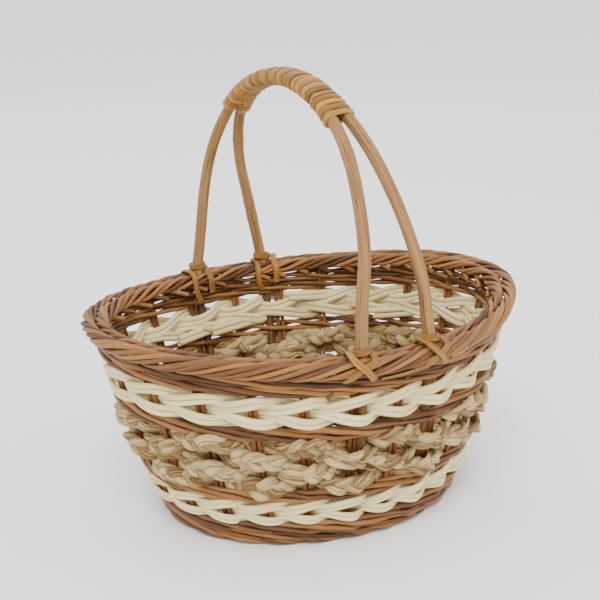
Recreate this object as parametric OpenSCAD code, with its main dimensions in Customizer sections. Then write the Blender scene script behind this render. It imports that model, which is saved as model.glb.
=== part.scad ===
// Oval willow basket with flared sides, a fixed handle of two rods and a wrapped grip.
// Millimetres. Origin at the centre of the base on the ground, +Z up, +X along the oval.

/* [Overall size] */
// Length of the rim, over the border
rim_length = 340; // [320:2:360]
// Width of the rim, over the border
rim_width = 284; // [270:2:300]
// Length of the foot, on the ground
foot_length = 226; // [210:2:240]
// Width of the foot, on the ground
foot_width = 194; // [180:2:206]
// How full the wall is: 1 is straight, less bellies out
wall_belly = 0.75; // [0.65:0.05:1]
// Radius of the oval's ends at the rim, as a share of half its width
rim_end_round = 0.8; // [0.7:0.02:0.86]
// Radius of the oval's ends at the foot, as a share of half its width
foot_end_round = 0.92; // [0.86:0.02:0.94]

/* [Heights of the woven layers, from the ground up] */
// Height of the foot border
foot_border_h = 6; // [5:0.5:7]
// Brown wale above the foot
foot_wale_h = 12; // [10:0.5:14]
// One row of pairing in the lower white band
lower_pairing_h = 11; // [9:0.5:13]
// One brown wale between the bands
wale_h = 8; // [7:0.5:9]
// One row of plaited corn husk
husk_h = 11; // [10:0.5:12]
// One row of pairing in the upper white band
upper_pairing_h = 13.5; // [11:0.5:14.5]
// One of the two wales under the border
rim_wale_h = 6.75; // [6:0.25:7.5]
// Height of the border
border_h = 13.5; // [13.5:0.5:15]

/* [Uprights] */
// Number of stakes
stake_count = 22; // [20:2:24]
// Diameter of a stake or a liner
stake_d = 3.3; // [3:0.1:3.4]
// Spacing of a stake and its liner, centre to centre
pair_spacing = 3.8; // [3.7:0.1:4.2]
// How far the first stake stands from the middle of the front, in stake spacings
stake_turn = 0.19; // [0:0.01:0.25]
// How far the stakes crowd towards the two sides, in stake spacings
end_spread = 0.17; // [0:0.01:0.2]
// How far the spacing drifts round the oval, in stake spacings
spacing_drift = 0.19; // [0:0.01:0.2]

/* [Handle] */
// Diameter of a handle rod
rod_d = 8.8; // [8:0.2:9.2]
// Height of the rods' centres at the crown
crown_h = 320; // [300:2:340]
// How far the crown leans to the back
crown_back = 17; // [0:1:18]
// Bend radius of the crown
crown_r = 145; // [120:5:170]
// Bend radius of the front shoulders
front_r = 145; // [120:5:150]
// Bend radius of the back shoulders
back_r = 96; // [90:2:110]
// Distance between the two rods where they enter the front border
front_foot_gap = 56; // [54:1:60]
// Distance between the two rods where they enter the back border
back_foot_gap = 63; // [60:1:66]
// Length of rod pushed down into the weave below the border
rod_tail = 96; // [94:1:98]
// Thickness of the cane on the grip and in the ties
cane_t = 1.5; // [1.2:0.1:1.6]
// Width of the cane
cane_w = 5; // [4:0.5:6]

/* [Hidden] */
$fn = 64;

willow = [0.66, 0.43, 0.24];
willow_dark = [0.55, 0.33, 0.18];
bleached = [0.93, 0.89, 0.76];
husk = [0.82, 0.72, 0.50];
peeled = [0.76, 0.60, 0.42];
cane = [0.74, 0.54, 0.30];

// Layer heights, each measured to the layer's lower edge
foot_wale_z = foot_border_h;
lower_pairing_z = foot_wale_z + foot_wale_h;
lower_wale_z = lower_pairing_z + 2*lower_pairing_h;
husk_z = lower_wale_z + wale_h;
middle_wale_z = husk_z + 4*husk_h;
upper_pairing_z = middle_wale_z + wale_h;
rim_wale_z = upper_pairing_z + 2*upper_pairing_h;
border_z = rim_wale_z + 2*rim_wale_h;
rim_h = border_z + border_h;
row_gap = 0.3;

// Offsets from the middle of the wall, where the stakes stand
layer_gap = 4.8;
pairing_t = 4;
wale_t = 3.6;
husk_t = 6;
rope_t = 9.6;
rope_gap = 0.3;
wall_t = layer_gap/2 + wale_t;

// The wall's oval at the middle of the border and on the ground
rim_mid = border_z + border_h/2;
rim_a = rim_length/2 - rope_t - rope_gap;
rim_b = rim_width/2 - rope_t - rope_gap;
foot_a = foot_length/2 - wall_t;
foot_b = foot_width/2 - wall_t;

// The wall's oval at a height: a half length, a half width and two arc radii, all tangent
function share(z) = pow(max(z, 0)/rim_mid, wall_belly);
function half_len(z) = foot_a + (rim_a - foot_a)*share(z);
function half_wid(z) = foot_b + (rim_b - foot_b)*share(z);
function end_r(z) = half_wid(z)*(foot_end_round + (rim_end_round - foot_end_round)*share(z));
function side_r(z) = (pow(half_len(z), 2) + pow(half_wid(z), 2) - 2*half_len(z)*end_r(z))
    /(2*(half_wid(z) - end_r(z)));
function end_angle(z) = atan2(side_r(z) - half_wid(z), half_len(z) - end_r(z));
function end_arc(z) = end_r(z)*end_angle(z)*PI/180;
function side_arc(z) = side_r(z)*(90 - end_angle(z))*PI/180;

// A point in the first quarter of the oval, t along its arc, moved out by o
function quarter_point(z, t, o) = t < end_arc(z)
    ? let (g = t/end_r(z)*180/PI)
        [half_len(z) - end_r(z) + (end_r(z) + o)*cos(g), (end_r(z) + o)*sin(g), z]
    : let (g = end_angle(z) + (t - end_arc(z))/side_r(z)*180/PI)
        [(side_r(z) + o)*cos(g), half_wid(z) - side_r(z) + (side_r(z) + o)*sin(g), z];

// A point on the wall: s runs once round from +X through +Y, 0 to 1
function wall_point(z, s, o = 0) =
    let (turn = s - floor(s), q = floor(4*turn), u = 4*turn - q, quarter = end_arc(z) + side_arc(z),
        p = quarter_point(z, (q % 2 == 0 ? u : 1 - u)*quarter, o))
    [(q == 1 || q == 2 ? -1 : 1)*p[0], (q >= 2 ? -1 : 1)*p[1], z];

function perimeter(z) = 4*(end_arc(z) + side_arc(z));

// Where each handle rod enters the border, as a share of the way round
function rod_share(side, front) = front < 0
    ? 0.75 + side*front_foot_gap/2/perimeter(rim_mid)
    : 0.25 - side*back_foot_gap/2/perimeter(rim_mid);

// A stake that would stand in a handle rod's place stands beside it instead
rod_room = (rod_d + stake_d + pair_spacing)/2 + 0.8;
function beside(s, rod) = let (d = s - rod, room = rod_room/perimeter(tail_z))
    abs(d) < room ? rod + (d < 0 ? -room : room) : s;

// Stake k stands here along the wall; stake 0 is the nearest to the middle of the front
function spread_share(k) = let (even = 0.75 + (k + stake_turn)/stake_count)
    even + (end_spread*sin(720*even + 59) - spacing_drift*sin(360*even + 56))/stake_count;
function stake_share(k) = let (s = spread_share(k), turn = s - floor(s))
    beside(beside(beside(beside(turn, rod_share(-1, -1)), rod_share(1, -1)),
        rod_share(-1, 1)), rod_share(1, 1));

// A straight round rod between two points, lengthened by grow at its start
module rod_between(p, q, d, grow = 0) {
    v = q - p;
    translate(p) rotate([0, acos(v[2]/norm(v)), atan2(v[1], v[0])]) translate([0, 0, -grow])
        cylinder(h = norm(v) + grow, d = d);
}

// One closed ring that follows the wall from z0 to z1, from offset o0 to o1. The two end arcs are a
// shade slimmer than the two side arcs and run on into them. The handle rods pass down through
// the sides.
ring_step = 0.06;
ring_overlap = 1;

function wall_lean(z0, z1) = (half_len(z1) - half_len(z0) + half_wid(z1) - half_wid(z0))/2;

module wall_ring(z0, z1, o0, o1, lean) {
    zm = (z0 + z1)/2;
    more = ring_overlap/end_r(zm)*180/PI;
    for (m = [0, 1]) mirror([m, 0, 0])
        translate([half_len(zm) - end_r(zm), 0, 0])
            rotate(-end_angle(zm) - more)
                rotate_extrude(angle = 2*(end_angle(zm) + more))
                    ring_section(end_r(zm), z0, z1, o0, o1, lean, ring_step);
    for (front = [-1, 1]) difference() {
        mirror([0, front < 0 ? 1 : 0, 0]) translate([0, half_wid(zm) - side_r(zm), 0])
            rotate(end_angle(zm))
                rotate_extrude(angle = 180 - 2*end_angle(zm))
                    ring_section(side_r(zm), z0, z1, o0, o1, lean, 0);
        if (zm > tail_z - 4) for (side = [-1, 1]) rod_socket(side, front);
    }
}

// The ring's section: a leaning bar with its corners cut, smaller all round by a step
module ring_section(r, z0, z1, o0, o1, lean, step) {
    soft = min(z1 - z0, o1 - o0)/4;
    k = lean/(z1 - z0);
    low = r - lean/2;
    high = r + lean/2;
    polygon([
        [low + o0 + soft, z0 + step], [low + o1 - soft, z0 + step],
        [low + o1 - step + k*soft, z0 + soft], [high + o1 - step - k*soft, z1 - soft],
        [high + o1 - soft, z1 - step], [high + o0 + soft, z1 - step],
        [high + o0 + step - k*soft, z1 - soft], [low + o0 + step + k*soft, z0 + soft]
    ]);
}

// The four places where the handle rods go down into the wall
foot_z = rim_h - 4;
tail_z = foot_z - rod_tail;
socket_clear = 0.35;

function foot_point(side, front) = wall_point(foot_z, rod_share(side, front));
function tail_point(side, front) = wall_point(tail_z, rod_share(side, front));

// The room left for a rod; it runs on above the border and below the rod's end
module rod_socket(side, front) {
    foot = foot_point(side, front);
    tail = tail_point(side, front);
    rod_between(foot, tail + 0.15*(tail - foot), rod_d + 2*socket_clear, 20);
}

// A woven row: what passes in front of the stakes and what passes behind them
module woven_row(z0, h, t) {
    low = z0 + row_gap/2;
    high = z0 + h - row_gap/2;
    wall_ring(low, high, layer_gap/2, layer_gap/2 + t, wall_lean(low, high));
    wall_ring(low, high, -layer_gap/2 - t, -layer_gap/2, wall_lean(low, high));
}

// Base: an oval slath, long sticks through cross sticks, woven round
stick_d = 5;
base_z = 8;
long_stick_pitch = 9;
cross_stick_count = 9;
base_reach = 10;

function base_half_len() = half_len(base_z) - layer_gap/2 - pairing_t - 1;
function base_half_wid() = half_wid(base_z) - layer_gap/2 - pairing_t - 1;
function cross_x(i) = (i - (cross_stick_count - 1)/2)*15;
function cross_half(i) = base_half_wid()*sqrt(1 - pow(cross_x(i)/base_half_len(), 2)) - 6;

module long_stick_rods(d) {
    for (j = [-1.5:1:1.5])
        translate([-base_half_len() + 6 + abs(j)*2, j*long_stick_pitch, base_z])
            rotate([0, 90, 0]) cylinder(h = 2*(base_half_len() - 6 - abs(j)*2), d = d);
}

module base_long_sticks() {
    color(willow_dark) long_stick_rods(stick_d);
}

// The cross sticks are pierced by the long ones
module base_cross_sticks() {
    color(willow_dark) difference() {
        for (i = [0:cross_stick_count - 1])
            translate([cross_x(i), -cross_half(i), base_z])
                rotate([-90, 0, 0]) cylinder(h = 2*cross_half(i), d = stick_d + 3);
        long_stick_rods(stick_d + 0.2);
    }
}

// A flat oval plate from z0 to z1, its edge a distance o inside the wall
module oval_plate(z0, z1, o) {
    z = base_z;
    translate([0, 0, z0]) linear_extrude(height = z1 - z0) intersection() {
        union() {
            for (m = [-1, 1]) translate([m*(half_len(z) - end_r(z)), 0]) circle(r = end_r(z) - o);
            square([2*(half_len(z) - end_r(z)), 2*(half_wid(z) - o)], center = true);
        }
        between_sides(z, o);
    }
}

// The lens that the oval's two side arcs enclose
module between_sides(z, o) {
    intersection() {
        translate([0, half_wid(z) - side_r(z)]) circle(r = side_r(z) - o, $fn = 180);
        translate([0, side_r(z) - half_wid(z)]) circle(r = side_r(z) - o, $fn = 180);
    }
}

module base_weave() {
    color(willow) difference() {
        oval_plate(base_z - 5.2, base_z + 5.2, layer_gap/2 + wale_t + 0.6);
        long_stick_rods(stick_d + 0.4);
        for (i = [0:cross_stick_count - 1])
            translate([cross_x(i), -cross_half(i) - 0.2, base_z])
                rotate([-90, 0, 0]) cylinder(h = 2*cross_half(i) + 0.4, d = stick_d + 3.4);
    }
}

// Wall, from the ground up
module foot_border() {
    color(willow) wall_ring(0, foot_border_h - row_gap/2, -wall_t, wall_t,
        wall_lean(0, foot_border_h)*0.5);
}

module foot_wale() {
    color(willow) woven_row(foot_wale_z, foot_wale_h, wale_t);
}

module lower_pairing_bottom() {
    color(bleached) woven_row(lower_pairing_z, lower_pairing_h, pairing_t);
}

module lower_pairing_top() {
    color(bleached) woven_row(lower_pairing_z + lower_pairing_h, lower_pairing_h, pairing_t);
}

module lower_wale() {
    color(willow) woven_row(lower_wale_z, wale_h, wale_t);
}

module husk_row(i) {
    color(husk) woven_row(husk_z + i*husk_h, husk_h, husk_t);
}
module husk_row_1() { husk_row(0); }
module husk_row_2() { husk_row(1); }
module husk_row_3() { husk_row(2); }
module husk_row_4() { husk_row(3); }

module middle_wale() {
    color(willow) woven_row(middle_wale_z, wale_h, wale_t);
}

module upper_pairing_bottom() {
    color(bleached) woven_row(upper_pairing_z, upper_pairing_h, pairing_t);
}

module upper_pairing_top() {
    color(bleached) woven_row(upper_pairing_z + upper_pairing_h, upper_pairing_h, pairing_t);
}

module rim_wale_bottom() {
    color(willow) woven_row(rim_wale_z, rim_wale_h, wale_t);
}

module rim_wale_top() {
    color(willow) woven_row(rim_wale_z + rim_wale_h, rim_wale_h, wale_t);
}

// Border: the outer rope hangs over the outer edge, the inner one lies along the top inside it.
// The gap under them lets the cane ties through.
inner_rope_h = 7;
tie_gap = cane_t + 0.6;

module border_outer_rope() {
    color(willow) wall_ring(border_z + tie_gap, rim_h, rope_gap, rope_gap + rope_t, 0);
}

module border_inner_rope() {
    color(willow) wall_ring(rim_h - inner_rope_h, rim_h - 0.5, -rope_t + 1, -rope_gap, 0);
}

// The trimmed ends of the border's rods slant out under the inner rope, one for each stake and one
// for each liner, clear of the handle rods
ends_z = rim_h - inner_rope_h - stake_d/2 - 0.4;
ends_in = (rod_d + stake_d)/2;

module border_ends() {
    color(willow_dark) for (k = [0:0.5:stake_count - 0.5])
        rod_between(wall_point(ends_z, spread_share(k), -ends_in),
            wall_point(ends_z - 1, spread_share(k - 0.38), -7.4), stake_d - 0.4);
}

// Uprights: a stake and a liner side by side, bent a little where the wall bellies
upright_z = [foot_border_h + 0.8, 26, 52, 90, border_z - 0.6];

function upright_point(k, i, shift) =
    wall_point(upright_z[i], stake_share(k) + shift/perimeter(upright_z[i]));

module uprights(shift) {
    for (k = [0:stake_count - 1]) {
        for (i = [0:len(upright_z) - 2])
            rod_between(upright_point(k, i, shift), upright_point(k, i + 1, shift), stake_d);
        for (i = [1:len(upright_z) - 2])
            translate(upright_point(k, i, shift)) sphere(d = stake_d + ring_step);
    }
}

module stakes() {
    color(willow_dark) uprights(-pair_spacing/2);
}

module liners() {
    color(willow_dark) uprights(pair_spacing/2);
}

// Handle. Each rod is a crown arc, a shoulder arc in a plane tilted outwards, a straight leg to the
// border and a straight tail inside the wall. front is -1 for the front half, 1 for the back half.
rod_gap = 0.4;
crown_front_angle = 12;
crown_back_angle = 24;
front_shoulder_angle = 72.5;
back_shoulder_angle = 68;
front_tilt = 11.4;
back_tilt = 13.5;

function crown_angle(front) = front < 0 ? crown_front_angle : crown_back_angle;
function shoulder_r(front) = front < 0 ? front_r : back_r;
function shoulder_angle(front) = front < 0 ? front_shoulder_angle : back_shoulder_angle;
function tilt(front) = front < 0 ? front_tilt : back_tilt;

// The shoulder arc's end, in the half's own frame: x outwards, y towards the foot, z up
function shoulder_end(front) =
    let (c = crown_angle(front), g = shoulder_angle(front), r = shoulder_r(front),
        u = r*sin(g), v = r*(1 - cos(g)), w = v*cos(tilt(front)))
    [v*sin(tilt(front)), crown_r*sin(c) + u*cos(c) - w*sin(c),
        crown_r*(cos(c) - 1) - u*sin(c) - w*cos(c)];

function shoulder_point(side, front) = let (e = shoulder_end(front))
    [side*(e[0] + (rod_d + rod_gap)/2), front*e[1] + crown_back, crown_h + e[2]];

// Each length of a rod starts inside the last one and is a shade thinner, as the rod tapers. A ball
// fills the slight bend at each end of the leg.
taper = 0.3;
overlap = 2;

// The crown: one arc over the top, in an upright plane
module crown_arc(side, d) {
    translate([side*(rod_d + rod_gap)/2, crown_back, crown_h - crown_r]) rotate([90, 0, 90])
        rotate(90 - crown_back_angle) rotate_extrude(angle = crown_back_angle + crown_front_angle)
            translate([crown_r, 0]) circle(d = d);
}

// A shoulder of a rod, drawn for +X and +Y and then mirrored
module shoulder_arc(side, front, d) {
    c = crown_angle(front);
    r = shoulder_r(front);
    start = overlap/r*180/PI;
    translate([0, crown_back, crown_h]) mirror([side < 0 ? 1 : 0, 0, 0])
        mirror([0, front < 0 ? 1 : 0, 0])
            translate([(rod_d + rod_gap)/2, crown_r*sin(c), crown_r*(cos(c) - 1)])
                rotate([-c, 0, 0]) rotate([0, -tilt(front), 0]) translate([0, 0, -r])
                    rotate([90, 0, 90]) rotate(90 - shoulder_angle(front))
                        rotate_extrude(angle = shoulder_angle(front) + start)
                            translate([r, 0]) circle(d = d);
}

module handle_rod(side) {
    color(peeled) {
        crown_arc(side, rod_d);
        for (front = [-1, 1]) {
            shoulder_arc(side, front, rod_d - taper);
            rod_between(shoulder_point(side, front), foot_point(side, front), rod_d - 2*taper);
            rod_between(foot_point(side, front), tail_point(side, front), rod_d - 3*taper);
            translate(shoulder_point(side, front)) sphere(d = rod_d);
            translate(foot_point(side, front)) sphere(d = rod_d);
        }
    }
}
module handle_rod_left() { handle_rod(-1); }
module handle_rod_right() { handle_rod(1); }

// The grip: a sleeve of cane round both rods, over the crown and a little way down each shoulder.
// Its slot is wider on the shoulders, where the rods begin to part.
grip_front_angle = 24;
grip_back_angle = 45;
grip_t = cane_t + 1;
front_parting = 0.8;
back_parting = 1.7;

// The outline of a slot round both rods, at a distance grow from them
module slot_section(grow, parting) {
    x = (rod_d + rod_gap)/2 + parting;
    r = rod_d/2 + grow;
    polygon([for (end = [1, -1], g = [-90:15:90]) [r*sin(g)*end, end*(x + r*cos(g))]]);
}

module sleeve(r, angle, parting) {
    rotate_extrude(angle = angle) translate([r, 0]) difference() {
        slot_section(socket_clear + grip_t, parting);
        slot_section(socket_clear, parting);
    }
}

module grip_wrap() {
    color(cane) {
        translate([0, crown_back, crown_h - crown_r]) rotate([90, 0, 90])
            rotate(90 - crown_back_angle)
                sleeve(crown_r, crown_back_angle + crown_front_angle, 0);
        shoulder_sleeve(-1, grip_front_angle - crown_front_angle, front_parting);
        shoulder_sleeve(1, grip_back_angle - crown_back_angle, back_parting);
    }
}

// The part of the sleeve on one shoulder, in the upright middle plane
module shoulder_sleeve(front, angle, parting) {
    c = crown_angle(front);
    r = shoulder_r(front);
    translate([0, crown_back, crown_h]) mirror([0, front < 0 ? 1 : 0, 0])
        translate([0, crown_r*sin(c), crown_r*(cos(c) - 1)]) rotate([-c, 0, 0])
            translate([0, 0, -r]) rotate([90, 0, 90]) rotate(90 - angle) sleeve(r, angle, parting);
}

// A cane tie: a ring round the rod above the border and a loop over the border on each side of it
tie_ring_rise = 10;
loop_side = rod_d/2 + cane_w/2 + 1.2;
loop_room = 0.5;

module tie(side, front) {
    foot = foot_point(side, front);
    v = (shoulder_point(side, front) - foot)/norm(shoulder_point(side, front) - foot);
    r = side_r(rim_mid);
    color(cane) {
        translate(foot + v*tie_ring_rise) rotate([0, acos(v[2]), atan2(v[1], v[0])])
            rotate_extrude() translate([rod_d/2 + cane_t/2 + 0.3, 0])
                square([cane_t, cane_w], center = true);
        for (m = [-1, 1])
            mirror([0, front < 0 ? 1 : 0, 0]) translate([0, half_wid(rim_mid) - r, 0])
                rotate(-asin((foot[0] + m*loop_side)/r)) translate([0, r, 0]) tie_loop();
    }
}

// One loop: a flat band of cane round the section of the border, which it clears by loop_room
module tie_loop() {
    low = border_z + 0.3;
    high = rim_h + loop_room;
    in = -rope_t + 1 - loop_room;
    out = rope_gap + rope_t + loop_room;
    translate([-cane_w/2, 0, 0]) rotate([90, 0, 90]) linear_extrude(height = cane_w) difference() {
        translate([in - cane_t, low]) square([out - in + 2*cane_t, high - low + cane_t]);
        translate([in, low + cane_t]) square([out - in, high - low - cane_t]);
    }
}

module tie_front_left() { tie(-1, -1); }
module tie_front_right() { tie(1, -1); }
module tie_back_left() { tie(-1, 1); }
module tie_back_right() { tie(1, 1); }

base_cross_sticks();
base_long_sticks();
base_weave();
foot_border();
foot_wale();
lower_pairing_bottom();
lower_pairing_top();
lower_wale();
husk_row_1();
husk_row_2();
husk_row_3();
husk_row_4();
middle_wale();
upper_pairing_bottom();
upper_pairing_top();
rim_wale_bottom();
rim_wale_top();
border_outer_rope();
border_inner_rope();
border_ends();
stakes();
liners();
handle_rod_left();
handle_rod_right();
grip_wrap();
tie_front_left();
tie_front_right();
tie_back_left();
tie_back_right();
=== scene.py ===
import bpy
import math
import numpy as np
from mathutils import Matrix, Vector


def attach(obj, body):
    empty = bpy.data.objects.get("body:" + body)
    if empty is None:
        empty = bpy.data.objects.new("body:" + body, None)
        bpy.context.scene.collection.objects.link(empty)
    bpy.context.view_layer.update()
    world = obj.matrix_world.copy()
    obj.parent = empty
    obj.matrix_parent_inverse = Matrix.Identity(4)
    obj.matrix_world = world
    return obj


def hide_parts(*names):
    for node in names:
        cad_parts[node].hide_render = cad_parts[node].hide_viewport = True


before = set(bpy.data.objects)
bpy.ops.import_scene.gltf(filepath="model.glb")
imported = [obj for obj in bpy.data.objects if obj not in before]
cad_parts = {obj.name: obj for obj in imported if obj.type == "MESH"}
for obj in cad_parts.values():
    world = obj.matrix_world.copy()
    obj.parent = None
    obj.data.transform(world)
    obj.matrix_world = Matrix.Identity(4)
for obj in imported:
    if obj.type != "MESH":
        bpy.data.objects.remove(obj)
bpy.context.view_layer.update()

# ---------------------------------------------------------------- sizes, in millimetres
RIM_L, RIM_W = 340.0, 284.0
FOOT_L, FOOT_W = 226.0, 194.0
BELLY = 0.74                   # below 1, the wall bulges outwards between foot and rim
RIM_ROUND, FOOT_ROUND = 0.79, 0.93   # the ovals' end radius, as a share of half their width
FOOT_BORDER_H, FOOT_WALE_H, LOW_PAIR_H, WALE_H = 6.0, 12.0, 11.0, 8.0
HUSK_H, UP_PAIR_H, RIM_WALE_H, BORDER_H = 11.0, 13.5, 6.75, 13.5
HUSK_ROWS = 4
STAKES = 22
TURN = 0.19                    # how far stake 0 stands from the middle of the front, in stakes
SPREAD, DRIFT = 0.17, 0.19     # how unevenly the stakes stand, in stakes
ROD = 3.6                      # a brown rod
WHITE = 4.3                    # a bleached rod
CANE_W, CANE_T = 2.45, 1.5     # half the width and half the height of the grip's rounded cane
TIE_T = 0.9                    # half the thickness of a tie's strip
GRIP_TURNS = 31
GRIP_FRONT_Y, GRIP_BACK_Y = -60.0, 105.0
FAR = 1000.0                   # added to a distance to leave a point out
ROPE_OUT = 9.9                 # how far the border stands out from the wall's middle
SADDLE = 8.7                   # how far the long ends of the rim rise above its sides
STAKE_D, PAIR = 3.3, 3.8       # an upright, and the spacing of a stake and its liner
UPRIGHT_R = 1.75               # an upright's radius at the foot
FOOT_ROD_R = 1.65              # and below it, where it is turned under
HANDLE_D, ROD_GAP = 8.8, 0.4   # a handle rod, and the gap between the two at the crown
CROWN_Z, CROWN_BACK, CROWN_R = 320.0, 17.0, 145.0
# These are for the handle's front (-1) and its back (1)
SHOULDER_R = {-1: 145.0, 1: 96.0}
CROWN_TURN = {-1: 12.0, 1: 24.0}       # degrees from the crown's middle to the shoulder
SHOULDER_TURN = {-1: 72.5, 1: 68.0}    # degrees round the shoulder
SPLAY = {-1: 11.4, 1: 13.5}            # degrees that the rods lean apart
FOOT_GAP = {-1: 56.0, 1: 63.0}         # between the rods, at the border
TAIL_Z, TAIL_OUT = 58.0, {-1: 0.4, 1: 1.6}   # where a rod ends in the wall
# The stake that each rod runs down along: (left or right, front or back)
TAIL_STAKE = {(-1, -1): -1, (1, -1): 1, (-1, 1): 12, (1, 1): 10}

Z_WALE0 = FOOT_BORDER_H
Z_LOW = Z_WALE0 + FOOT_WALE_H
Z_WALE1 = Z_LOW + 2 * LOW_PAIR_H
Z_HUSK = Z_WALE1 + WALE_H
Z_WALE2 = Z_HUSK + HUSK_ROWS * HUSK_H
Z_UP = Z_WALE2 + WALE_H
Z_RIM = Z_UP + 2 * UP_PAIR_H
Z_BORDER = Z_RIM + 2 * RIM_WALE_H
Z_TOP = Z_BORDER + BORDER_H
Z_MID = Z_BORDER + BORDER_H / 2
RIM_A, RIM_B = RIM_L / 2 - ROPE_OUT, RIM_W / 2 - ROPE_OUT
FOOT_OUT = 6.0                 # how far the foot border stands out
FOOT_A, FOOT_B = FOOT_L / 2 - FOOT_OUT, FOOT_W / 2 - FOOT_OUT


# ---------------------------------------------------------------- the wall
def oval(z):
    """Half length, half width, end radius, side radius and joint angle of the wall's oval at z."""
    w = (np.maximum(z, 0.0) / Z_MID) ** BELLY
    a = FOOT_A + (RIM_A - FOOT_A) * w
    b = FOOT_B + (RIM_B - FOOT_B) * w
    e = b * (FOOT_ROUND + (RIM_ROUND - FOOT_ROUND) * w)
    r = (a * a + b * b - 2 * a * e) / (2 * (b - e))
    return a, b, e, r, np.arctan2(r - b, a - e)


def around(z):
    """Length of the wall's oval at z."""
    _, _, e, r, g = oval(z)
    return 4 * (e * g + r * (math.pi / 2 - g))


def wall(f, z, o=0.0):
    """Point at share f of the way round, height z and distance o outwards, and the wall's normal there.
    f runs from +X through +Y."""
    f, z, o = np.broadcast_arrays(np.asarray(f, float), np.asarray(z, float), np.asarray(o, float))
    a, b, e, r, g = oval(z)
    turn = (f % 1.0) * 4
    q = np.minimum(np.floor(turn), 3).astype(int)
    u = turn - q
    u = np.where(q % 2 == 0, u, 1 - u)
    l_end, l_side = e * g, r * (math.pi / 2 - g)
    t = u * (l_end + l_side)
    on_end = t < l_end
    t1 = t / e
    t2 = g + (t - l_end) / r
    th = np.where(on_end, t1, t2)
    x = np.where(on_end, a - e + (e + o) * np.cos(t1), (r + o) * np.cos(t2))
    y = np.where(on_end, (e + o) * np.sin(t1), b - r + (r + o) * np.sin(t2))
    sx = np.where((q == 1) | (q == 2), -1.0, 1.0)
    sy = np.where(q >= 2, -1.0, 1.0)
    dz = SADDLE * (z / Z_MID) * ((x / a) ** 2 - 0.4)
    p = np.stack([sx * x, sy * y, z + dz], -1)
    n = np.stack([sx * np.cos(th), sy * np.sin(th), np.zeros_like(x)], -1)
    return p, n


def stake_share(k):
    """Where stake k stands, as a share of the way round. Stake 0 is nearest the middle of the front, and k
    may be a fraction."""
    even = 0.75 + (np.asarray(k, float) + TURN) / STAKES
    tau = 2 * math.pi
    return even + (SPREAD * np.sin(2 * tau * even + math.radians(59))
                   - DRIFT * np.sin(tau * even + math.radians(56))) / STAKES


def bulge(k):
    """How far a weaver stands further out where it passes a handle rod."""
    beside, reach, extra = 0.21, 0.26, 2.2     # the first two in stakes
    k = np.asarray(k, float)
    out = 0.0 * k
    for (side, front), stake in TAIL_STAKE.items():
        d = (k - stake - side * front * beside + STAKES / 2) % STAKES - STAKES / 2
        out += extra * np.exp(-(d / reach) ** 2)
    return out


# ---------------------------------------------------------------- meshes of rods
SKIN, CUT_END = 0.0, 2.0         # what a point of a mesh lies on, for the materials


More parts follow.
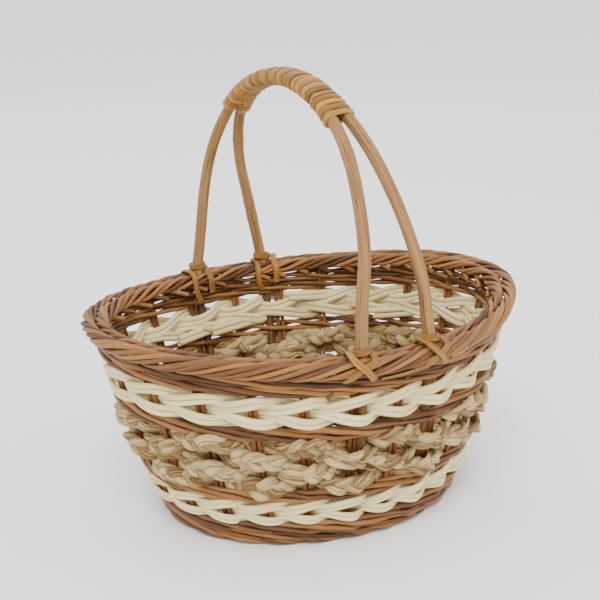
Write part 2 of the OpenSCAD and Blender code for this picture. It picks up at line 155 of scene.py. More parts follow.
class Bundle:
    """Collects swept rods and makes one mesh of them, with the attributes the materials read."""

    def __init__(self):
        self.v, self.f, self.al, self.ar, self.tone, self.kind = [], [], [], [], [], []
        self.n = 0

    def sweep(self, pts, out, rw, rh, tone, sides=8, closed=False, caps=True, power=1.0, twist=None,
              ribs=None):
        """A rod along pts. Its section is an ellipse of half width rw across `out` and rh along it; a lower
        power makes it squarer, twist turns it about its own line and ribs fold it lengthwise."""
        pts = np.asarray(pts, float)
        n = len(pts)
        if closed:
            tan = np.roll(pts, -1, 0) - np.roll(pts, 1, 0)
        else:
            tan = np.gradient(pts, axis=0)
        tan /= np.linalg.norm(tan, axis=1)[:, None] + 1e-12
        out = np.broadcast_to(np.asarray(out, float), pts.shape)
        out = out - (out * tan).sum(1)[:, None] * tan
        out /= np.linalg.norm(out, axis=1)[:, None] + 1e-12
        side = np.cross(tan, out)
        if twist is not None:
            c, s = np.cos(twist)[:, None], np.sin(twist)[:, None]
            out, side = out * c + side * s, side * c - out * s
        th = np.arange(sides) * 2 * math.pi / sides
        cs, sn = np.cos(th), np.sin(th)
        cs = np.sign(cs) * np.abs(cs) ** power
        sn = np.sign(sn) * np.abs(sn) ** power
        rw = np.broadcast_to(np.asarray(rw, float), (n,))
        rh = np.broadcast_to(np.asarray(rh, float), (n,))
        step = np.linalg.norm(np.diff(pts, axis=0), axis=1)
        along = np.concatenate([[0], np.cumsum(step)])
        swell = np.ones((n, sides))
        if ribs:                                # lengthwise folds: how many, how deep, where
            count, deep, turn = ribs
            swell = 1 + deep * np.sin(count * th[None] + turn + along[:, None] * 0.05) \
                + 0.5 * deep * np.sin((count + 3) * th[None] - turn - along[:, None] * 0.11)
        ring = (pts[:, None, :] + out[:, None, :] * (rh[:, None] * cs[None] * swell)[..., None]
                + side[:, None, :] * (rw[:, None] * sn[None] * swell)[..., None])
        i = np.arange(n if closed else n - 1)
        j = np.arange(sides)
        ii, jj = np.meshgrid(i, j, indexing="ij")
        i2 = (ii + 1) % n
        j2 = (jj + 1) % sides
        quads = np.stack([ii * sides + jj, ii * sides + j2, i2 * sides + j2, i2 * sides + jj], -1)
        quads = quads.reshape(-1, 4)
        self.v.append(ring.reshape(-1, 3))
        self.f.append(quads + self.n)
        self.al.append(np.repeat(along, sides))
        self.ar.append(np.tile(np.arange(sides) / sides, n))
        self.tone.append(np.repeat(np.broadcast_to(np.asarray(tone, float), (n,)), sides))
        self.kind.append(np.full(n * sides, SKIN))
        base = self.n
        self.n += n * sides
        if caps and not closed:
            ends = np.broadcast_to(np.asarray(tone, float), (n,))
            for at, flip in ((0, True), (n - 1, False)):
                ringi = base + at * sides + np.arange(sides)
                self.v.append(pts[at][None])
                self.al.append([along[at]])
                self.ar.append([0.5])
                self.tone.append([ends[at]])
                self.kind.append([CUT_END])
                tri = np.stack([np.full(sides, self.n), ringi, np.roll(ringi, -1)], -1)
                self.n += 1
                if not flip:
                    tri = tri[:, ::-1]
                self.f.append(np.concatenate([tri, tri[:, 2:]], 1))

    def make(self, name, material):
        """One object of all the rods, which stands for the CAD node of the same name."""
        v = np.concatenate(self.v) / 1000.0
        f = np.concatenate(self.f)
        tri = f[:, 2] == f[:, 3]
        me = bpy.data.meshes.new(name)
        faces = [tuple(x) for x in f[~tri].tolist()] + [tuple(x[:3]) for x in f[tri].tolist()]
        me.from_pydata(v.tolist(), [], faces)
        for nm, arr in (("along", self.al), ("around", self.ar), ("tone", self.tone), ("kind", self.kind)):
            a = me.attributes.new(nm, "FLOAT", "POINT")
            values = np.concatenate([np.asarray(x, np.float32).ravel() for x in arr])
            a.data.foreach_set("value", values.astype(np.float32))
        me.polygons.foreach_set("use_smooth", np.ones(len(me.polygons), bool))
        me.validate()
        me.update()
        ob = bpy.data.objects.new(name, me)
        bpy.context.scene.collection.objects.link(ob)
        me.materials.append(material)
        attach(ob, "root")
        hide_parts(name)


def smooth_noise(rng, n, knots, closed=True):
    """n samples of smooth noise of about unit size, through random knots."""
    k = rng.normal(size=knots)
    x = np.linspace(0, knots if closed else knots - 1, n, endpoint=not closed)
    i = np.floor(x).astype(int)
    t = x - i
    t = t * t * (3 - 2 * t)
    return k[i % knots] * (1 - t) + k[(i + 1) % knots] * t


# ---------------------------------------------------------------- materials
def material(name, light, dark, streak, speck=0.0, rough=0.5, bump=0.35, freq=1.0, coat=0.0, tone_mix=0.35,
             fold=0.0, end=None):
    """Willow, cane or husk: colour streaks along each rod, a tone of its own for each rod and a fibre bump.
    freq is how short the streaks are, fold adds creases and end is the colour of the cut ends."""
    m = bpy.data.materials.new(name)
    m.use_nodes = True
    nt = m.node_tree
    nt.nodes.clear()
    out = nt.nodes.new("ShaderNodeOutputMaterial")
    bs = nt.nodes.new("ShaderNodeBsdfPrincipled")
    nt.links.new(bs.outputs[0], out.inputs[0])

    def attr(nm):
        a = nt.nodes.new("ShaderNodeAttribute")
        a.attribute_name = nm
        return a.outputs["Fac"]

    def calc(op, a, b=None):
        n = nt.nodes.new("ShaderNodeMath")
        n.operation = op
        for i, s in enumerate((a, b)):
            if s is None:
                continue
            if isinstance(s, (int, float)):
                n.inputs[i].default_value = s
            else:
                nt.links.new(s, n.inputs[i])
        return n.outputs[0]

    def noise(vec, scale, detail, fine):
        n = nt.nodes.new("ShaderNodeTexNoise")
        n.inputs["Scale"].default_value = scale
        n.inputs["Detail"].default_value = detail
        n.inputs["Roughness"].default_value = fine
        nt.links.new(vec, n.inputs["Vector"])
        return n.outputs["Fac"]

    def ramp(fac, stops):
        r = nt.nodes.new("ShaderNodeValToRGB")
        el = r.color_ramp.elements
        while len(el) < len(stops):
            el.new(0.5)
        for e, (p, c) in zip(el, stops):
            e.position = p
            e.color = (*c, 1)
        nt.links.new(fac, r.inputs[0])
        return r.outputs["Color"]

    def rod_space(along_scale, radius):
        """Noise coordinates that run along the rod and round it."""
        v = nt.nodes.new("ShaderNodeCombineXYZ")
        nt.links.new(calc("ADD", calc("MULTIPLY", along, along_scale), off), v.inputs[0])
        nt.links.new(calc("MULTIPLY", calc("COSINE", ang), radius), v.inputs[1])
        nt.links.new(calc("MULTIPLY", calc("SINE", ang), radius), v.inputs[2])
        return v

    def blend(share, under, over):
        """The colour `over` laid on the colour socket `under`."""
        mx = nt.nodes.new("ShaderNodeMix")
        mx.data_type = "RGBA"
        nt.links.new(share, mx.inputs[0])
        nt.links.new(under, mx.inputs[6])
        mx.inputs[7].default_value = (*over, 1)
        return mx.outputs[2]

    along = attr("along")
    tone = attr("tone")
    ang = calc("MULTIPLY", attr("around"), 2 * math.pi)
    off = calc("MULTIPLY", tone, 137.0)        # each rod has streaks of its own
    vec = rod_space(0.012 * freq, 0.9)
    fibre = noise(vec.outputs[0], 5.0, 6.0, 0.7)
    patch = noise(vec.outputs[0], 1.3, 3.0, 0.55)
    mixf = calc("ADD", calc("MULTIPLY", calc("SUBTRACT", fibre, 0.5), streak * 2.2),
                calc("ADD", calc("MULTIPLY", calc("SUBTRACT", patch, 0.5), 0.9),
                     calc("ADD", calc("MULTIPLY", calc("SUBTRACT", tone, 0.5), tone_mix * 2), 0.5)))
    mid = tuple((l * 0.62 + d * 0.38) for l, d in zip(light, dark))
    col = ramp(mixf, [(0.0, dark), (0.45, mid), (1.0, light)])
    if speck:
        sp = noise(vec.outputs[0], 26.0, 2.0, 0.5)
        spots = ramp(sp, [(0.0, (0, 0, 0)), (0.70, (0, 0, 0)), (0.78, (1, 1, 1))])
        col = blend(calc("MULTIPLY", spots, speck), col, [c * 0.45 for c in dark])
    if end is not None:
        col = blend(calc("GREATER_THAN", attr("kind"), 0.6 * CUT_END), col, end)
    nt.links.new(col, bs.inputs["Base Color"])
    nt.links.new(calc("ADD", calc("MULTIPLY", fibre, 0.25), rough - 0.12), bs.inputs["Roughness"])
    bs.inputs["Coat Weight"].default_value = coat
    bs.inputs["Coat Roughness"].default_value = 0.35
    bs.inputs["Specular IOR Level"].default_value = 0.22
    bp = nt.nodes.new("ShaderNodeBump")
    bp.inputs["Strength"].default_value = bump
    bp.inputs["Distance"].default_value = 0.0006 if not fold else 0.0014
    h = fibre
    if fold:
        creases = noise(rod_space(0.02, 2.2).outputs[0], 3.0, 3.0, 0.5)
        h = calc("ADD", calc("MULTIPLY", creases, fold), calc("MULTIPLY", fibre, 0.5))
    nt.links.new(h, bp.inputs["Height"])
    nt.links.new(bp.outputs[0], bs.inputs["Normal"])
    return m


BROWN = material("willow_brown", light=(0.315, 0.139, 0.041), dark=(0.056, 0.020, 0.007),
                 streak=0.95, speck=0.35, bump=0.4, tone_mix=0.5, end=(0.38, 0.23, 0.09))
STAKE = material("willow_stake", light=(0.265, 0.100, 0.028), dark=(0.08, 0.027, 0.008),
                 streak=0.6, speck=0.2, end=(0.38, 0.23, 0.09))
CREAM = material("willow_bleached", light=(0.82, 0.72, 0.41), dark=(0.54, 0.39, 0.14),
                 streak=0.45, speck=0.1, coat=0.03, tone_mix=0.22, end=(0.62, 0.50, 0.28))
HUSK = material("corn_husk", light=(0.71, 0.535, 0.255), dark=(0.20, 0.092, 0.020),
                streak=1.5, rough=0.65, bump=1.0, freq=0.5, tone_mix=0.4, fold=1.5)
PEEL = material("willow_peeled", light=(0.330, 0.170, 0.058), dark=(0.085, 0.037, 0.010),
                streak=2.2, speck=0.9, bump=0.4, freq=0.3, tone_mix=0.2, end=(0.42, 0.29, 0.13))
CANE = material("cane", light=(0.445, 0.215, 0.042), dark=(0.080, 0.032, 0.006),
                streak=1.5, speck=0.9, rough=0.45, bump=0.45, freq=0.8, tone_mix=0.45, end=(0.40, 0.26, 0.09))


# ---------------------------------------------------------------- woven rows
START = STAKES / 2               # the loops begin and end at the back


def wale(name, z0, h, rows, over=4, front=0.55, rod=ROD, seed=1, steep=0.80, per=30, shade=0.08, ends=()):
    """A wale of `over` rods, each some way in front of the stakes and then behind; front sets how much of
    the way. The rods make closed loops. ends are the places where a rod's cut end pokes out below."""
    rng = np.random.default_rng(seed)
    b = Bundle()
    rh = h / rows
    loops = math.gcd(over, STAKES)
    rounds = over // loops
    n = STAKES * rounds * per
    k = START + np.linspace(0, STAKES * rounds, n, endpoint=False)
    reach = 2.2 + rod / 2                      # out to where a rod clears the stakes
    for r in range(rows):
        zc = z0 + rh * (r + 0.5)
        for c in range(loops):
            turn = (k + r * 0.7 + c) / over
            th = 2 * math.pi * turn
            lift = np.cos(th) + front
            o = reach * np.clip(lift, -0.85, 1.0)
            o = np.where(lift > 0.7, reach * (0.7 + 0.3 * (lift - 0.7)), o)
            o = o + bulge(k) * np.tanh(3 * lift)
            z = zc - steep * rh / 2 * np.sin(th)
            z = z + 0.3 * smooth_noise(rng, n, STAKES * 6)
            o = o + 0.25 * smooth_noise(rng, n, STAKES * 6)
            p, nrm = wall(stake_share(k), z, o)
            wdt = rod / 2 * (1 + 0.07 * smooth_noise(rng, n, STAKES * 2))
            rods = 0.9 * rng.random(STAKES * rounds) - shade   # a new rod takes over behind a stake
            tone = rods[(np.floor(turn - 0.5).astype(int) // 2) % len(rods)]
            b.sweep(p, nrm, wdt, wdt, tone, sides=8, closed=True)
    for at in ends:
        t = np.linspace(0, 1, 8)
        p, nrm = wall(stake_share(at - 0.16 * t), z0 + 3.5 - 5.0 * t, 1.5 + 5.2 * t)
        b.sweep(p, nrm, rod * 0.46, rod * 0.46, 0.2, sides=12)
    b.make(name, BROWN)


def pairing(name, z0, h, up, seed, cuts=(), per=36):
    """One row of pairing with doubled rods, in front of one stake and behind the next.
    up is 1 where the front rods arch over the eyes and -1 where they pass under them. cuts are the places of
    rods that end inside."""
    rng = np.random.default_rng(seed)
    b = Bundle()
    zc = z0 if up > 0 else z0 + h
    size = h / UP_PAIR_H
    fat = WHITE * (0.35 + 0.65 * size)
    n = STAKES * per
    k = START + np.linspace(0, STAKES, n, endpoint=False)
    for s in (0, 1):
        x = (k - s + 1) % 2 - 1                       # 0 in front of a stake, +-1 behind the next
        o = 4.5 * np.cos(math.pi * x) - 2.0 * np.sin(math.pi * x)
        o = o + bulge(k) * np.tanh(4 * np.cos(math.pi * x))
        mid = size * (5.2 + 3.4 * np.cos(math.pi * (x - 0.24)))
        lean = smooth_noise(rng, n, STAKES)
        for j in (-1, 1):
            z = zc + up * (mid + j * fat * 0.47) + 0.3 * lean + 0.18 * smooth_noise(rng, n, STAKES * 3)
            oo = o + 0.2 * smooth_noise(rng, n, STAKES * 3)
            p, nrm = wall(stake_share(k), z, oo)
            wdt = fat / 2 * (1 + 0.05 * smooth_noise(rng, n, STAKES * 2))
            rods = rng.random(STAKES)
            tone = rods[(np.floor((k - s + 1) / 2).astype(int) // 3 + j) % len(rods)]
            b.sweep(p, nrm, wdt, wdt * 0.84, tone, sides=10, closed=True, power=0.88)
    for at in cuts:
        t = np.linspace(0, 1, 24)
        for j in (-1, 1):
            k = at - 1.4 + (1.4 + 0.1 * rng.normal()) * t
            z = zc + up * (size * (6.4 + 3.2 * t) + j * fat * 0.47)
            p, nrm = wall(stake_share(k), z, -1.0 - 5.5 * np.sin(1.9 * t))
            b.sweep(p, nrm, fat / 2, fat / 2 * 0.84, rng.random(), sides=10, power=0.88)
    b.make(name, CREAM)


def husk_row(name, z0, h, front, seed, per=44):
    """A three-strand plait of husk, in front of every other stake and behind the ones between."""
    rng = np.random.default_rng(seed)
    b = Bundle()
    n = STAKES * per
    step = np.linspace(0, STAKES, n, endpoint=False)
    k = START + step
    ph = math.pi * (k - front)
    core = 6.0 * np.cos(ph) + 0.4 + 0.4 * smooth_noise(rng, n, STAKES * 3)
    core = core + bulge(k) * np.tanh(4 * np.cos(ph))
    zc = z0 + h / 2 + 0.6 * smooth_noise(rng, n, STAKES * 2)
    drift = 0.10 * smooth_noise(rng, n, STAKES * 2)
    turns = STAKES
    for j in range(3):
        t = 2 * math.pi * (step / STAKES * turns + j / 3.0 + drift)
        z = zc + 3.5 * np.sin(t) + 0.5 * smooth_noise(rng, n, STAKES * 4)
        o = core + 2.0 * np.sin(2 * t) + 0.4 * smooth_noise(rng, n, STAKES * 4)
        p, nrm = wall(stake_share(k), z, o)
        rw = 4.1 * (1 + 0.20 * smooth_noise(rng, n, STAKES * 4))
        rh = 2.2 * (1 + 0.20 * smooth_noise(rng, n, STAKES * 4))
        tw = 0.45 * np.cos(t) + 0.5 * smooth_noise(rng, n, STAKES * 3)
        tones = rng.random(turns)
        tone = tones[(np.floor(t / (2 * math.pi)).astype(int) // 2) % turns]
        b.sweep(p, nrm, rw, rh, tone, sides=26, closed=True, twist=tw, ribs=(9, 0.085, 2.0 * j))
    b.make(name, HUSK)


def rope(name, seed, span, n, angles, centre, radii, shift):
    """A border rope: rods that wind once round part of a core, three to a stake."""
    rng = np.random.default_rng(seed)
    b = Bundle()
    for i in range(STAKES * 3):
        k0 = i / 3 + shift + 0.035 * rng.normal()
        t = np.linspace(0, 1, n)
        k = k0 - span * t
        g = np.radians(angles[0] + (angles[1] - angles[0]) * t)
        f = stake_share(k)
        swell = 1 + 0.09 * rng.normal()
        dip = 1.5 * (np.clip(0.14 - t, 0, 1) + np.clip(t - 0.90, 0, 1)) / 0.12
        o = centre[0] + (radii[0] * swell - dip) * np.cos(g)
        z = centre[1] + (radii[1] - dip) * np.sin(g) + 0.2 * rng.normal()
        r = ROD * 0.48 * (1 + 0.08 * rng.normal()) * np.ones(n)
        p, _ = wall(f, z, o)
        c, _ = wall(f, centre[1], centre[0])
        b.sweep(p, p - c, r, r, rng.random(), sides=8)
    b.make(name, BROWN)


def ropes():
    """The border's two ropes."""
    # outside: up the inner side of the core, over the outer edge, down and under
    rope("border_outer_rope", 41, 2.35, 34, (208, -108), (4.8, Z_BORDER + BORDER_H * 0.46),
         (4.1, BORDER_H * 0.5 - ROD * 0.42), 0.0)
    # inside: up from the inner face, over the top and down into the groove
    rope("border_inner_rope", 43, 1.4, 20, (250, 5), (-4.4, Z_TOP - 6.0), (3.3, 4.2), 0.12)


def border_ends():
    """Trimmed ends that slant down inside, below the inner rope."""
    rng = np.random.default_rng(47)
    b = Bundle()
    for i in range(STAKES * 2):
        k = i / 2 + 0.2 + 0.05 * rng.normal()
        t = np.linspace(0, 1, 8)
        long = 1 + 0.2 * rng.normal()
        z = Z_TOP - 7.5 - 6.0 * t * long
        o = -3.6 - (4.2 + 0.5 * rng.normal()) * t
        p, nrm = wall(stake_share(k - 0.42 * t * long), z, o)
        b.sweep(p, nrm, ROD * 0.52, ROD * 0.52, rng.random(), sides=10)
    b.make("border_ends", BROWN)


def uprights(name, shift, seed):
    """One rod at each stake, shifted sideways."""
    rng = np.random.default_rng(seed)
    b = Bundle()
    for k in range(STAKES):
        n = 40
        z = np.linspace(3.0, Z_BORDER + 3, n)
        f = stake_share(k) + shift / around(z) + 0.0003 * smooth_noise(rng, n, 6, False)
        p, nrm = wall(f, z, 0.15 * smooth_noise(rng, n, 6, False))
        r = UPRIGHT_R * (1 - 0.1 * z / Z_MID)
        b.sweep(p, nrm, r, r, rng.random(), sides=10)
    b.make(name, STAKE)


def foot_border():
    """The foot border: the uprights' lower ends turn aside, run over its outer edge and end under it."""
    rng = np.random.default_rng(53)
    b = Bundle()
    for i in range(STAKES):
        start = i + 0.04 * rng.normal()
        for j in (0, 1):
            t = np.linspace(0, 1, 34)
            k = start + 0.17 * j + 2.1 * t
            g = np.radians(165 - 300 * t)
            o = 0.6 + (4.5 + 0.2 * rng.normal() - 0.5 * j) * np.cos(g)
            z = 4.1 + (2.4 - 0.2 * j) * np.sin(g)
            p, _ = wall(stake_share(k), z, o)
            c, _ = wall(stake_share(k), 4.1, 0.6)
            b.sweep(p, p - c, FOOT_ROD_R, FOOT_ROD_R, rng.random(), sides=8)
    b.make("foot_border", BROWN)


# ---------------------------------------------------------------- base
BASE_Z = 8.0
BASE_INSET = 8.0                 # the base ends short of the wall's middle
CROSS_N, CROSS_PITCH = 9, 15.0
LONG_N, LONG_PITCH = 4, 9.0
WEAVE_ROWS = 15


def base_parts():
    """Long sticks, cross sticks and the paired rods that fill the oval between and around them."""
    a, b = oval(BASE_Z)[:2]
    la, lb = a - BASE_INSET, b - BASE_INSET
    rng = np.random.default_rng(61)
    bl = Bundle()
    for j in range(LONG_N):
        from_mid = j - (LONG_N - 1) / 2
        y = from_mid * LONG_PITCH
        x = np.linspace(-la + 2 + abs(from_mid) * 2, la - 2 - abs(from_mid) * 2, 40)
        fan = np.clip((np.abs(x) - 62) / 40, 0, 1) ** 1.5
        yy = y * (1 + 1.3 * fan)
        p = np.stack([x, yy, np.full_like(x, BASE_Z)], -1)
        bl.sweep(p, (0, 0, 1), 2.6, 2.6, rng.random(), sides=10)
    bl.make("base_long_sticks", STAKE)
    bc = Bundle()
    for i in range(CROSS_N):
        x = (i - (CROSS_N - 1) / 2) * CROSS_PITCH
        h = lb * math.sqrt(1 - (x / la) ** 2) - 2
        y = np.linspace(-h, h, 40)
        fan = np.clip((np.abs(y) - 24) / 60, 0, 1)
        p = np.stack([x * (1 + 0.35 * fan), y, np.full_like(y, BASE_Z)], -1)
        w = 3.9 + 0.9 * np.exp(-(y / 20) ** 4)
        bc.sweep(p, (0, 0, 1), w * 0.9, 3.6, rng.random(), sides=12)
    bc.make("base_cross_sticks", STAKE)
    bw = Bundle()
    spokes = 2 * (CROSS_N + LONG_N)
    first = np.array([4 * CROSS_PITCH + 6, 1.5 * LONG_PITCH + 6])
    for q in range(WEAVE_ROWS):
        u = q / (WEAVE_ROWS - 1)
        ha = first[0] + (la - 2 - first[0]) * u
        hb = first[1] + (lb - 2 - first[1]) * u
        n = 420
        for s in (0, 1):
            t = np.linspace(0, 2 * math.pi, n, endpoint=False)
            pw = 0.72 + 0.2 * u
            x = ha * np.sign(np.cos(t)) * np.abs(np.cos(t)) ** pw
            y = hb * np.sign(np.sin(t)) * np.abs(np.sin(t)) ** pw
            z = BASE_Z + 3.6 * np.cos(spokes / 2 * t + math.pi * (s + q))
            x = x + 0.3 * smooth_noise(rng, n, 40)
            p = np.stack([x, y, z], -1)
            bw.sweep(p, (0, 0, 1), 1.75, 1.6, rng.random(), sides=6, closed=True)
    bw.make("base_weave", BROWN)


# ---------------------------------------------------------------- handle
def foot_share(side, front):
    """Where a handle rod meets the border, as a share of the way round."""
    middle = 0.75 if front < 0 else 0.25
    return middle - front * side * FOOT_GAP[front] / 2 / around(Z_MID)


def arc_leg(side, front):
    """Centre line of one rod, from the crown's middle down one shoulder to its foot and on into the wall, and
    the foot's point."""
    c = math.radians(CROWN_TURN[front])
    g = math.radians(SHOULDER_TURN[front])
    radius = SHOULDER_R[front]
    tilt = math.radians(SPLAY[front])
    x0 = (HANDLE_D + ROD_GAP) / 2
    pts = []
    for t in np.linspace(0, c, 16)[:-1]:
        pts.append((x0, CROWN_R * math.sin(t), CROWN_R * (math.cos(t) - 1)))
    for s in np.linspace(0, g, 50):
        u = radius * math.sin(s)
        v = radius * (1 - math.cos(s))
        w = v * math.cos(tilt)
        pts.append((x0 + v * math.sin(tilt), CROWN_R * math.sin(c) + u * math.cos(c) - w * math.sin(c),
                    CROWN_R * (math.cos(c) - 1) - u * math.sin(c) - w * math.cos(c)))
    pts = np.array(pts)
    pts = np.stack([side * pts[:, 0], front * pts[:, 1] + CROWN_BACK, CROWN_Z + pts[:, 2]], -1)
    f = foot_share(side, front)
    foot_z = Z_TOP - 4
    foot = wall(f, foot_z)[0]
    beside = (STAKE_D + PAIR + HANDLE_D) / 2 + 0.2
    ahead = stake_share(TAIL_STAKE[side, front]) + side * front * beside / around(90) - f
    ahead = (ahead + 0.5) % 1 - 0.5            # the short way round
    end = pts[-1]
    leg = [end + (foot - end) * t for t in np.linspace(0, 1, 24)[1:]]
    t = np.linspace(0, 1, 20)[1:]
    down, _ = wall(f + ahead * t, foot_z - (Z_TOP - TAIL_Z) * t, TAIL_OUT[front] * np.sqrt(t))
    path = np.concatenate([pts, leg, down])
    for _ in range(10):                        # ease the bend at the border
        path[60:-6] = 0.5 * path[60:-6] + 0.25 * (path[59:-7] + path[61:-5])
    return path, foot


def resample(p, step):
    """The same line with points about a step apart."""
    d = np.concatenate([[0], np.cumsum(np.linalg.norm(np.diff(p, axis=0), axis=1))])
    n = max(4, int(d[-1] / step))
    t = np.linspace(0, d[-1], n)
    return np.stack([np.interp(t, d, p[:, i]) for i in range(3)], -1)


def handle():
    """The two rods: each runs from its front foot over the crown to its back foot."""
    for side, nm in ((-1, "handle_rod_left"), (1, "handle_rod_right")):
        rng = np.random.default_rng(71 + side)
        f, _ = arc_leg(side, -1)
        k, _ = arc_leg(side, 1)
        p = resample(np.concatenate([f[::-1], k[1:]]), 2.2)
        n = len(p)
        b = Bundle()
        wob = 0.35 * smooth_noise(rng, n, 18, False)
        p = p + np.stack([wob, 0.3 * smooth_noise(rng, n, 14, False), np.zeros(n)], -1)
        r = HANDLE_D / 2 * (1 + 0.02 * smooth_noise(rng, n, 20, False))
        for at in rng.uniform(0.1, 0.9, 5):    # small knots
            r = r + 0.35 * np.exp(-((np.arange(n) / n - at) / 0.006) ** 2)
        low = p[:, 2] - wall(0.25, Z_BORDER + 3)[0][2]
        thin = np.where(p[:, 1] > 0, 0.8, 0.94)
        r = r * np.where(low < 0, np.clip((low + 95) / 28, 0.35, thin), 1)   # sharpened at the end
        tone = np.where(low < -4, -1.2, rng.random())                        # and darker in the weave: painted shade on the rod's tail inside the wall
        b.sweep(p, (side, 0, 0), r, r, tone, sides=28)
        b.make(nm, PEEL)


def grip():
    """Flat cane wound round both rods, turn by turn."""
    rng = np.random.default_rng(83)
    legs = [np.concatenate([arc_leg(s, -1)[0][::-1], arc_leg(s, 1)[0][1:]]) for s in (-1, 1)]
    left, right = (resample(q, 0.5) for q in legs)
    m = min(len(left), len(right))
    mid = (left[:m] + right[:m]) / 2
    half = np.abs(right[:m, 0] - left[:m, 0]) / 2
    low = (mid[:, 2] <= 250) * FAR
    first = int(np.argmin(np.abs(mid[:, 1] - GRIP_FRONT_Y) + low))
    last = int(np.argmin(np.abs(mid[:, 1] - GRIP_BACK_Y) + low))
    per = 48
    n = GRIP_TURNS * per
    s = np.linspace(first, last, n) + 1.3 * smooth_noise(rng, n, GRIP_TURNS, False)
    ii = np.arange(m)
    c = np.stack([np.interp(s, ii, mid[:, q]) for q in range(3)], -1)
    hx = np.interp(s, ii, half)
    t = np.gradient(mid, axis=0)
    t /= np.linalg.norm(t, axis=1)[:, None]
    tt = np.stack([np.interp(s, ii, t[:, q]) for q in range(3)], -1)
    across = np.tile([1.0, 0, 0], (n, 1))
    up = np.cross(tt, across)
    up /= np.linalg.norm(up, axis=1)[:, None]
    g = np.linspace(0, 2 * math.pi * GRIP_TURNS, n) + math.pi / 2     # both ends lie underneath
    cg, sg = np.cos(g), np.sin(g)
    rr = HANDLE_D / 2 + 0.9 + 0.2 * smooth_noise(rng, n, GRIP_TURNS * 2, False)
    wide = hx * np.sign(cg) * np.minimum(np.abs(cg) * 1.25, 1.0)      # straight between the two rods
    p = c + across * (wide + rr * cg)[:, None] + up * (rr * sg)[:, None]
    out = across * cg[:, None] + up * sg[:, None]
    b = Bundle()
    w = CANE_W * (1 + 0.10 * smooth_noise(rng, n, GRIP_TURNS, False))
    for q in range(GRIP_TURNS):                # a tone for each turn
        i = np.arange(max(0, q * per - 1), min(n, (q + 1) * per + 2))
        b.sweep(p[i], out[i], w[i], CANE_T, 0.5 + 0.22 * rng.normal(), sides=12, power=0.85,
                caps=q in (0, GRIP_TURNS - 1))
    b.make("grip_wrap", CANE)


def ties():
    """Each rod's tie: a turn round the rod on the border, two crossed strips outside and two upright ones
    inside."""
    spec = {"tie_front_left": (-1, -1), "tie_front_right": (1, -1),
            "tie_back_left": (-1, 1), "tie_back_right": (1, 1)}
    for nm, (side, front) in spec.items():
        rng = np.random.default_rng(97 + side * 3 + front)
        path, foot = arc_leg(side, front)
        gap = FOOT_GAP[front]
        f0 = foot_share(side, front)
        per_mm = 1 / around(Z_MID)
        b = Bundle()

        def strip(pts, half_width=2.35):
            """A strip of cane through points given as (distance along the border, height, offset)."""
            q = np.array(pts, float)
            d = np.concatenate([[0], np.cumsum(np.linalg.norm(np.diff(q, axis=0), axis=1))])
            t = np.linspace(0, d[-1], 70)
            q = np.stack([np.interp(t, d, q[:, i]) for i in range(3)], -1)
            for _ in range(12):
                q[1:-1] = 0.5 * q[1:-1] + 0.25 * (q[:-2] + q[2:])
            pp, _ = wall(f0 + q[:, 0] * per_mm, q[:, 1], q[:, 2])
            cc, _ = wall(f0 + q[:, 0] * per_mm, Z_MID, 0.0)
            b.sweep(pp, pp - cc, half_width, TIE_T, 0.1 + 0.4 * rng.random(), sides=14, power=0.5)

        top, low = Z_TOP + 1.6, Z_BORDER + 0.5
        out, inn = 11.4, -10.4
        drop = 5 if front > 0 else 0            # inside at the back, one strip is longer than the other
        for m, lift in ((-1, 1.3), (1, 0.0)):
            # up the inside beside the rod, over the top and across the outer face; the one that comes from
            # the left lies on top and ends in a square cut, the other goes in under the border
            short = drop * (m < 0)
            inside = [(m * 7 - 2, low - 9 + short, inn + 3), (m * 8.3, low - 3 + short, inn + 1),
                      (m * 8.8, Z_MID, inn - 0.5), (m * 7.2, top - 1, inn + 2.5)]
            if m < 0:
                strip(inside + [(-9.0, top + 2.4, -2), (-9.4, top + 2.0, 5.5), (-7.6, top - 1.8, out + lift),
                                (-1.0, low + 7, out + lift + 0.3), (5.2, low - 1.2, out + 0.6)], 2.45)
            else:
                strip(inside + [(7, top + 0.6, -2), (6.8, top, 5), (6.2, top - 3.5, out - 0.8),
                                (-4, low + 6, out), (-11, low - 1, out - 1.2), (-13, low - 3, out - 4.5)])
        if (side, front) == (1, -1):           # the strip's end, laid along under the border
            strip([(-0.75 * gap, low - 4.6, 4.0), (-0.62 * gap, low - 3.8, 7.4),
                   (-0.45 * gap, low - 2.8, 8.4), (-0.28 * gap, low - 1.8, 8.4),
                   (-0.16 * gap, low + 0.5, 7.0)], 2.2)
            strip([(0.24 * gap, low + 0.5, 8.2), (0.36 * gap, low + 1.2, 9.8), (0.5 * gap, low + 3.0, 9.4),
                   (0.56 * gap, low + 5.0, 7.0)], 1.9)
        # the turn round the rod, lying on the border
        away = np.abs(path[:, 1] - foot[1])
        c0 = path[np.argmin(np.abs(path[:, 2] - (foot[2] + 8.5)) + (away > 40) * FAR)]
        axis = path[np.argmin(np.abs(path[:, 2] - (foot[2] + 28)) + (away > 60) * FAR)] - c0
        axis /= np.linalg.norm(axis)
        u = np.cross(axis, (1, 0, 0))
        u /= np.linalg.norm(u)
        v = np.cross(axis, u)
        g = np.linspace(0, 2 * math.pi, 48, endpoint=False)
        pp = c0 + np.outer(np.cos(g), u) * 5.5 + np.outer(np.sin(g), v) * 6.0
        pp = pp + np.outer(np.sin(g) * 1.4 * side, axis)
        b.sweep(pp, pp - c0, 2.3, TIE_T, 0.3, sides=14, closed=True, power=0.5)
        b.make(nm, CANE)


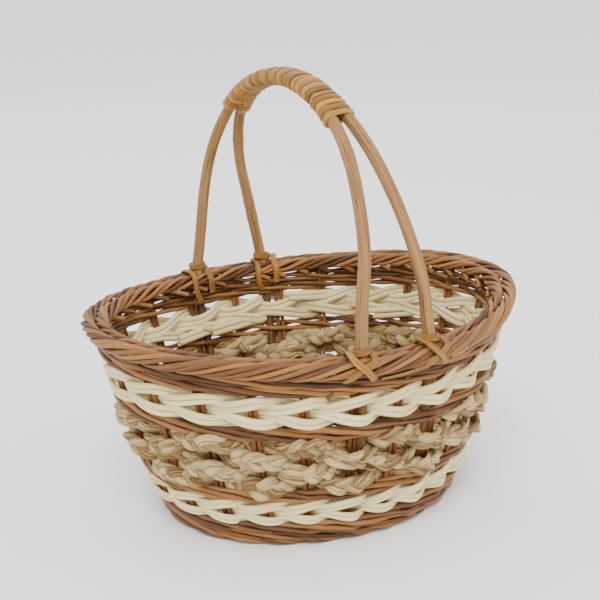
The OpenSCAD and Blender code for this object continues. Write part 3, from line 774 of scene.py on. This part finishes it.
wale("foot_wale", Z_WALE0 - 0.8, FOOT_WALE_H + 0.8, 2, steep=1.2, seed=11)
pairing("lower_pairing_bottom", Z_LOW, LOW_PAIR_H, -1, 12)
pairing("lower_pairing_top", Z_LOW + LOW_PAIR_H, LOW_PAIR_H, 1, 13)
wale("lower_wale", Z_WALE1 - 0.4, WALE_H + 1.0, 1, shade=-0.06, seed=14)
for row in range(HUSK_ROWS):
    husk_row("husk_row_%d" % (row + 1), Z_HUSK + row * HUSK_H, HUSK_H, (row + 1) % 2, 20 + row)
wale("middle_wale", Z_WALE2 - 0.8, WALE_H + 1.2, 1, shade=-0.06, seed=15)
pairing("upper_pairing_bottom", Z_UP, UP_PAIR_H, -1, 16, cuts=(12.65, 11.75, 7.9, 1.9))
pairing("upper_pairing_top", Z_UP + UP_PAIR_H, UP_PAIR_H, 1, 17, cuts=(9.9, 18.9))
wale("rim_wale_bottom", Z_RIM, RIM_WALE_H, 1, front=0.12, seed=18, ends=(-1.42,))
wale("rim_wale_top", Z_RIM + RIM_WALE_H, RIM_WALE_H, 1, front=0.12, seed=19)
ropes()
border_ends()
uprights("stakes", -PAIR / 2, 31)
uprights("liners", PAIR / 2, 32)
foot_border()
base_parts()
handle()
grip()
ties()


# ---------------------------------------------------------------- floor, light, camera, in metres
def white_floor(half, grey):
    """A square floor just under the basket's foot."""
    mesh = bpy.data.meshes.new("floor")
    corners = [(-half, -half, 0), (half, -half, 0), (half, half, 0), (-half, half, 0)]
    mesh.from_pydata(corners, [], [(0, 1, 2, 3)])
    floor = bpy.data.objects.new("floor", mesh)
    floor.location.z = -0.0002
    bpy.context.scene.collection.objects.link(floor)
    m = bpy.data.materials.new("floor_white")
    m.use_nodes = True
    shader = m.node_tree.nodes["Principled BSDF"]
    shader.inputs["Base Color"].default_value = (grey, grey, grey, 1)
    shader.inputs["Roughness"].default_value = 0.9
    mesh.materials.append(m)


def studio_world(strength):
    """Even white light from all round."""
    world = bpy.data.worlds.new("studio")
    bpy.context.scene.world = world
    world.use_nodes = True
    sky = world.node_tree.nodes["Background"]
    sky.inputs[0].default_value = (1, 1, 1, 1)
    sky.inputs[1].default_value = strength


def soft_light(name, loc, size, power, target=(0, 0, 0.12)):
    """A round area light that points at the target."""
    d = bpy.data.lights.new(name, "AREA")
    d.shape = "DISK"
    d.size = size
    d.energy = power
    o = bpy.data.objects.new(name, d)
    o.location = loc
    o.rotation_euler = (Vector(target) - Vector(loc)).to_track_quat("-Z", "Y").to_euler()
    bpy.context.scene.collection.objects.link(o)


def look(direction):
    """Right and up for a level camera that looks along direction."""
    right = direction.cross(Vector((0, 0, 1))).normalized()
    return right, right.cross(direction)


def photo_camera(azimuth, elevation, roll, distance, shift_right, shift_up, lens):
    """A camera that looks at the basket's middle from the left of the front and above; angles in degrees."""
    az, el, tilt = (math.radians(x) for x in (azimuth, elevation, roll))
    middle = Vector((0, 0, 0.15))
    towards = Vector((math.sin(az) * math.cos(el), -math.cos(az) * math.cos(el), math.sin(el)))
    pos = middle + towards * distance
    right, up = look(-towards)
    forward = (middle + right * shift_right + up * shift_up - pos).normalized()
    right, up = look(forward)
    x = right * math.cos(tilt) + up * math.sin(tilt)
    y = up * math.cos(tilt) - right * math.sin(tilt)
    data = bpy.data.cameras.new("camera")
    data.sensor_width = 36.0
    data.lens = lens
    camera = bpy.data.objects.new("camera", data)
    camera.matrix_world = Matrix(((x.x, y.x, -forward.x, pos.x), (x.y, y.y, -forward.y, pos.y),
                                  (x.z, y.z, -forward.z, pos.z), (0, 0, 0, 1)))
    bpy.context.scene.collection.objects.link(camera)
    return camera


white_floor(half=40.0, grey=0.92)
studio_world(1.65)
soft_light("key", (-0.9, -1.3, 1.9), 1.0, 42)
soft_light("fill", (1.6, -1.2, 1.2), 1.2, 10)
soft_light("back", (0.3, 1.7, 1.6), 1.2, 11)
bpy.context.scene.camera = photo_camera(azimuth=-28.245, elevation=16.673, roll=-1.743, distance=1.0205,
                                        shift_right=-0.00305, shift_up=0.00304, lens=80.59)
